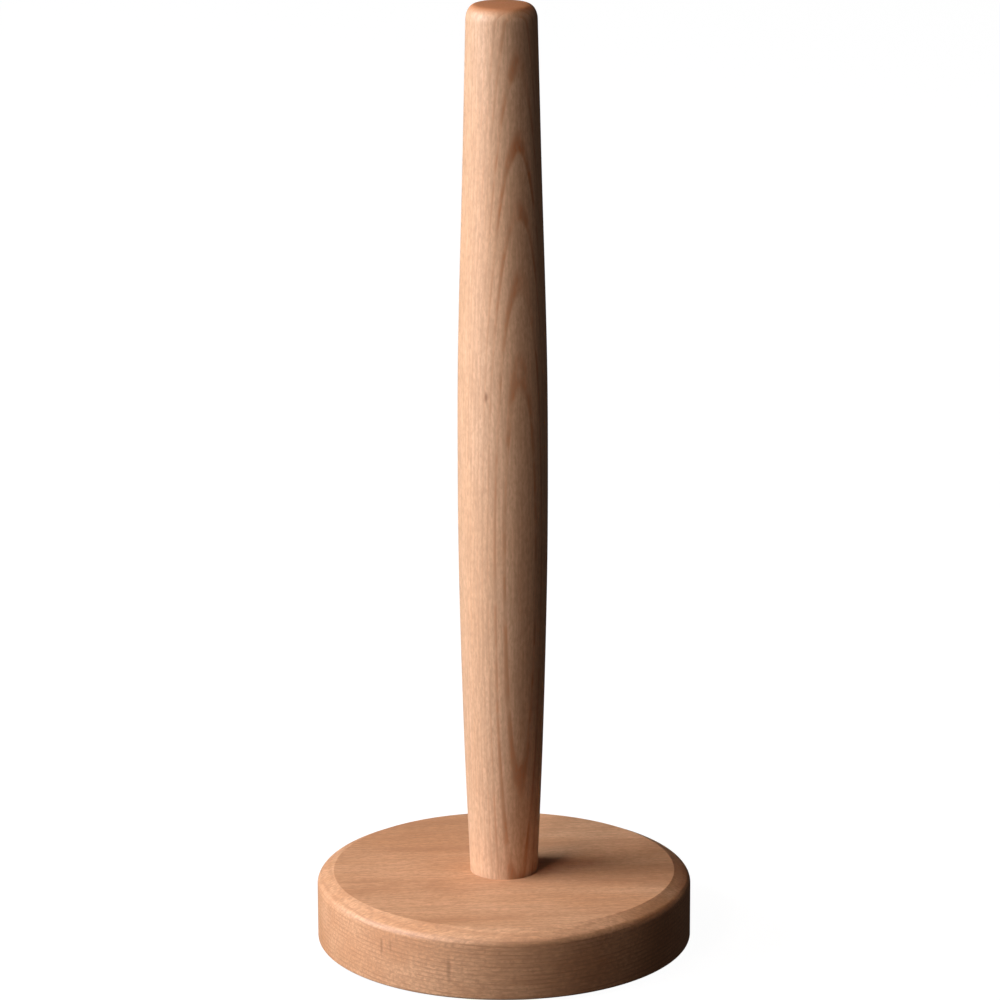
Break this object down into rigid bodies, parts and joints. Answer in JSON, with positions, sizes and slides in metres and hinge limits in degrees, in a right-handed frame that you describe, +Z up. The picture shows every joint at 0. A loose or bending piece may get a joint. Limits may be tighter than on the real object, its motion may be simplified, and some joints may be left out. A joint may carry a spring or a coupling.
{
  "type": "paper towel holder",
  "caption": "Upright paper towel holder: barrel-tapered turned wood post drawn down by a bolt onto a thick round wood base with a bevelled top edge and rubber foot pads.",
  "frame": {"origin": "on the surface that the holder stands on, on the axis of the post and base", "axes": "+Z up along the post; the holder is round, so +X and +Y are any two directions square to it, with the foot pads between them"},
  "size_m": [0.13, 0.13, 0.33],
  "materials": {
    "beech_base": "oiled, satin",
    "beech_post": "oiled, satin",
    "insert_metal": "yellow zinc plated",
    "bolt_steel": "bright zinc plated",
    "pad_rubber": "matte"
  },
  "bodies": {
    "stand": {"base": "beech_base", "flat_washer": "bolt_steel", "spring_washer": "bolt_steel", "foot_pad_1": "pad_rubber", "foot_pad_2": "pad_rubber", "foot_pad_3": "pad_rubber", "foot_pad_4": "pad_rubber"},
    "bolt": {"connector_bolt": "bolt_steel"},
    "upright": {"post": "beech_post", "insert_nut": "insert_metal"}
  },
  "joints": [
    {"name": "post_lift", "type": "slide", "parent": "stand", "child": "upright", "axis": [0, 0, 1], "range_m": [0, 0.015]},
    {"name": "bolt_turn", "type": "hinge", "parent": "stand", "child": "bolt", "pos_m": [0, 0, 0.0089], "axis": [0, 0, -1], "range_deg": [0, 5400]}
  ],
  "couplings": [
    {"joint": "bolt_turn", "follows": "post_lift", "rad_per_m": 6283.2}
  ]
}
